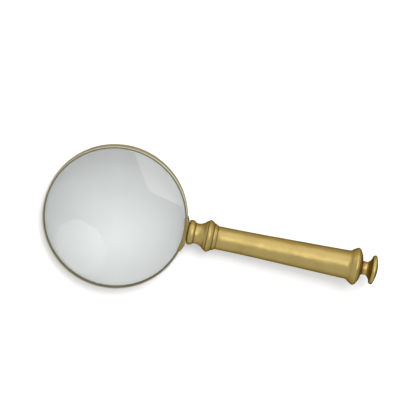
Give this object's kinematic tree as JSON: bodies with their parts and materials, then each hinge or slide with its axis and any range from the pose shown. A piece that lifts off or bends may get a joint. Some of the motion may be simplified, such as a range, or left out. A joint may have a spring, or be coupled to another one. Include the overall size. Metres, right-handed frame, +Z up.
{
  "type": "magnifying glass",
  "caption": "Hand-held magnifying glass: a round biconvex lens in a thin brass rim on a turned, screw-on brass handle with a mushroom finial.",
  "frame": {"origin": "on the desk, under the middle of the object's bounding box", "axes": "+X along the handle towards the finial, +Z up from the desk, +Y to the left of the handle seen from the finial end with the lens lying flat"},
  "size_m": [0.2438, 0.104, 0.0314],
  "materials": {
    "rim_brass": "thin spun rim, satin lacquer over turning marks",
    "turned_brass": "lathe-turned, satin lacquered, browned in the grooves",
    "tube_brass": "drawn and softly polished, clear lacquer",
    "lens_glass": "clear polished optical glass",
    "fibre_black": "matt vulcanised fibre",
    "fibre_red": "matt vulcanised fibre",
    "steel_thread": "plain bright steel"
  },
  "bodies": {
    "lens_head": {"rim_band": "rim_brass", "lens": "lens_glass", "lens_seat_ring": "rim_brass", "retaining_ring": "rim_brass", "saddle": "rim_brass", "neck_stud": "steel_thread"},
    "neck_washer": {"front_washer": "fibre_black"},
    "handle": {"front_collar": "turned_brass", "ferrule": "turned_brass", "tail_ring": "turned_brass", "handle_tube": "tube_brass", "end_collar": "turned_brass", "tie_rod": "steel_thread", "lock_nut": "steel_thread", "clamp_nut": "steel_thread", "spring_washer": "steel_thread"},
    "finial_seat": {"finial_washer": "fibre_red"},
    "finial": {"finial_knob": "turned_brass"}
  },
  "joints": [
    {"name": "handle_travel", "type": "slide", "parent": "lens_head", "child": "neck_washer", "axis": [0.9983, 0, 0.0575], "range_m": [0, 0.008]},
    {"name": "handle_turn", "type": "hinge", "parent": "neck_washer", "child": "handle", "pos_m": [-0.0167, 0, 0.01074], "axis": [0.9983, 0, 0.0575], "range_deg": [0, 2880]},
    {"name": "finial_travel", "type": "slide", "parent": "handle", "child": "finial_seat", "axis": [0.9983, 0, 0.0575], "range_m": [0, 0.007]},
    {"name": "finial_turn", "type": "hinge", "parent": "finial_seat", "child": "finial", "pos_m": [0.11069, 0, 0.01807], "axis": [0.9983, 0, 0.0575], "range_deg": [0, 3600]}
  ],
  "couplings": [
    {"joint": "handle_travel", "follows": "handle_turn", "m_per_rad": 0.00015915},
    {"joint": "finial_travel", "follows": "finial_turn", "m_per_rad": 0.00011141}
  ]
}
